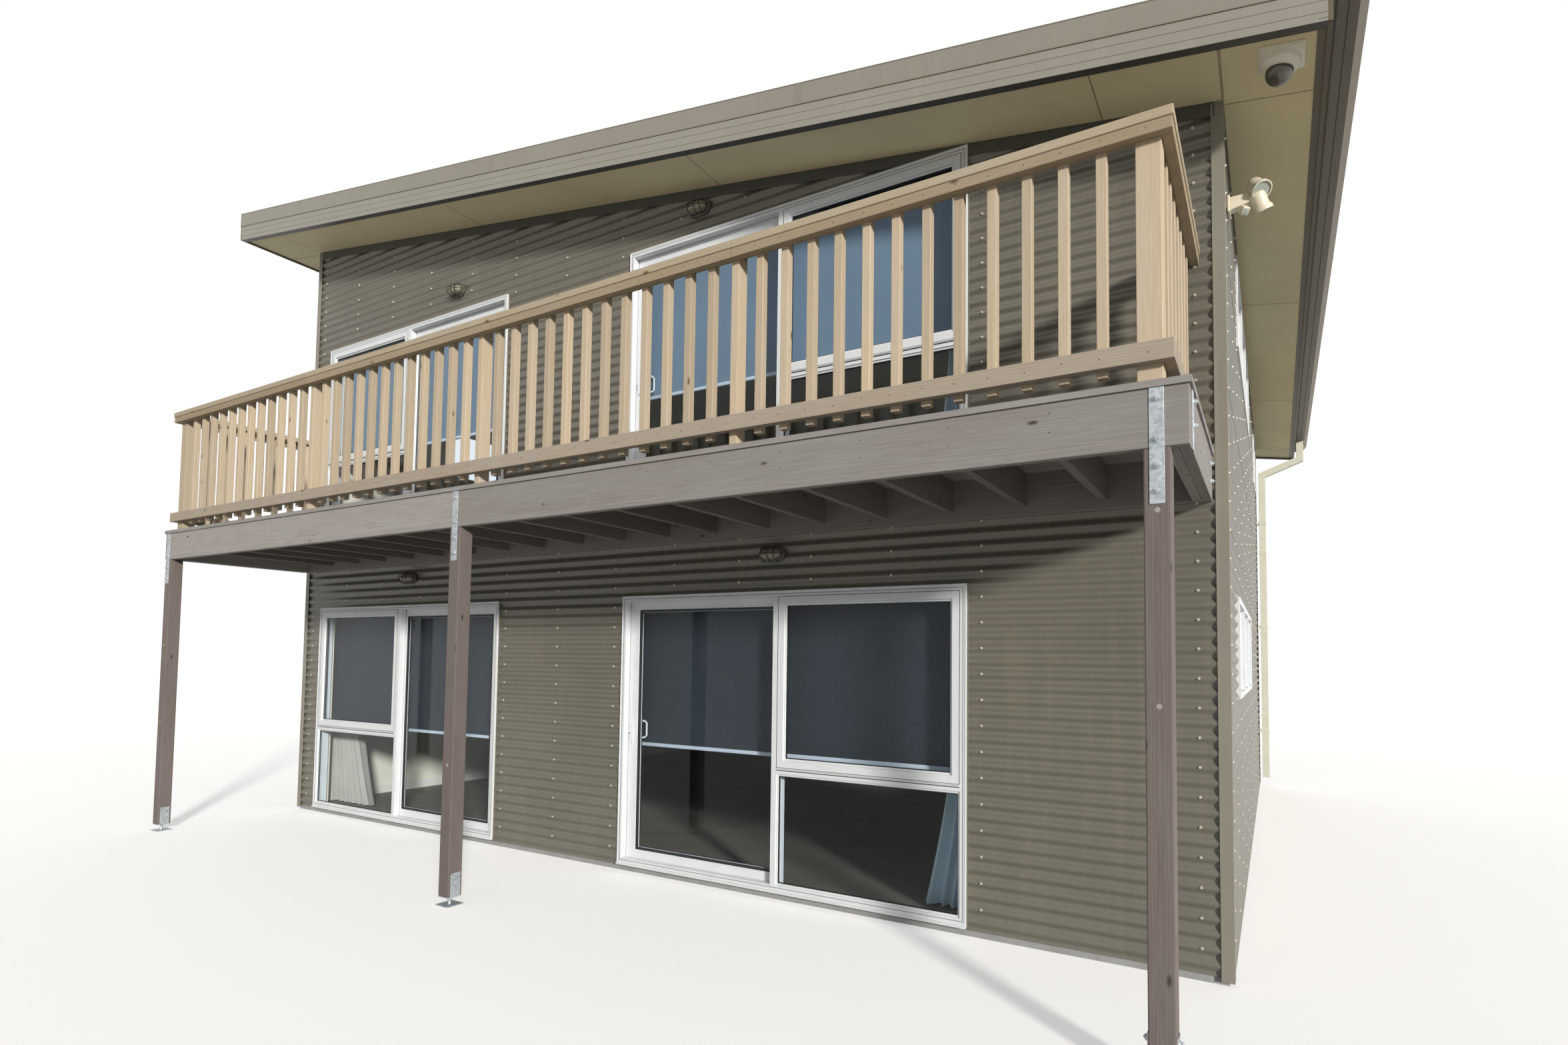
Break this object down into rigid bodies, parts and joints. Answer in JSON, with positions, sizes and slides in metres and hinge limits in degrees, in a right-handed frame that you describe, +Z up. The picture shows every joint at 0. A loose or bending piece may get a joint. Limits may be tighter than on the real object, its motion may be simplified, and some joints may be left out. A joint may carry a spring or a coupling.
{
  "type": "two-storey corrugated steel cabin",
  "caption": "Two-storey cabin clad in horizontal corrugated steel, with a one-way sloping roof, sliding door units and a timber balcony on posts.",
  "frame": {"origin": "middle of the floor slab's underside, on the ground", "axes": "+X to the right along the front, +Y into the building away from the balcony, +Z up"},
  "size_m": [9.881, 9.769, 6.3007],
  "materials": {
    "concrete": "cast concrete, trowelled",
    "wall_lining": "framed wall with painted lining",
    "floor_timber": "timber floor on joists",
    "soffit_paint": "painted sheet lining, matt",
    "corrugated_steel": "factory painted corrugated steel, low gloss",
    "folded_steel": "factory painted folded steel, low gloss",
    "joinery_coat": "powder coated aluminium, satin",
    "blind_cloth": "woven screen cloth, matt",
    "window_glass": "clear float glass",
    "frame_timber": "sawn framing timber",
    "deck_timber": "weathered sawn pine",
    "galvanised_steel": "hot dip galvanised",
    "cream_plastic": "painted square pipe, satin",
    "white_plastic": "moulded plastic, satin",
    "lamp_casting": "painted die casting, low gloss"
  },
  "bodies": {
    "building": {"floor_slab": "concrete", "front_piers_lower": "wall_lining", "front_band": "wall_lining", "front_piers_upper": "wall_lining", "front_gable": "wall_lining", "left_wall": "wall_lining", "right_wall": "wall_lining", "rear_wall": "wall_lining", "upper_floor": "floor_timber", "ceiling": "soffit_paint", "front_cladding": "corrugated_steel", "left_cladding": "corrugated_steel", "right_cladding": "corrugated_steel", "rear_cladding": "corrugated_steel", "corner_flashings": "folded_steel", "wall_flashings": "folded_steel", "main_frame": "joinery_coat", "main_panes": "window_glass", "side_frame": "joinery_coat", "side_panes": "window_glass", "upper_frames": "joinery_coat", "upper_panes": "window_glass", "upper_leaves": "joinery_coat", "awning_sashes": "joinery_coat", "blind_cloths": "blind_cloth", "blind_rollers": "joinery_coat", "wall_windows": "joinery_coat", "wall_window_glass": "window_glass", "rafters": "frame_timber", "roofing": "corrugated_steel", "soffit_lining": "soffit_paint", "barge_boards": "folded_steel", "fascia_boards": "folded_steel", "barge_capping": "folded_steel", "gutter": "folded_steel", "downpipe": "cream_plastic", "deck_beams": "deck_timber", "deck_joists": "deck_timber", "decking": "deck_timber", "ground_posts": "deck_timber", "post_feet": "galvanised_steel", "beam_straps": "galvanised_steel", "balustrade_posts": "deck_timber", "front_balusters": "deck_timber", "left_balusters": "deck_timber", "right_balusters": "deck_timber", "bottom_rails": "deck_timber", "top_rails": "deck_timber", "cap_boards": "deck_timber", "bulkhead_lights": "lamp_casting", "floodlight": "white_plastic", "dome_camera": "white_plastic"},
    "main_sliding_leaf": {"main_leaf": "joinery_coat", "main_leaf_glass": "window_glass", "main_pull": "joinery_coat"},
    "side_sliding_leaf": {"side_leaf": "joinery_coat", "side_leaf_glass": "window_glass", "side_pull": "joinery_coat"}
  },
  "joints": [
    {"name": "main_leaf_slide", "type": "slide", "parent": "building", "child": "main_sliding_leaf", "axis": [1, 0, 0], "range_m": [0, 1.22]},
    {"name": "side_leaf_slide", "type": "slide", "parent": "building", "child": "side_sliding_leaf", "axis": [-1, 0, 0], "range_m": [0, 1.22]}
  ]
}
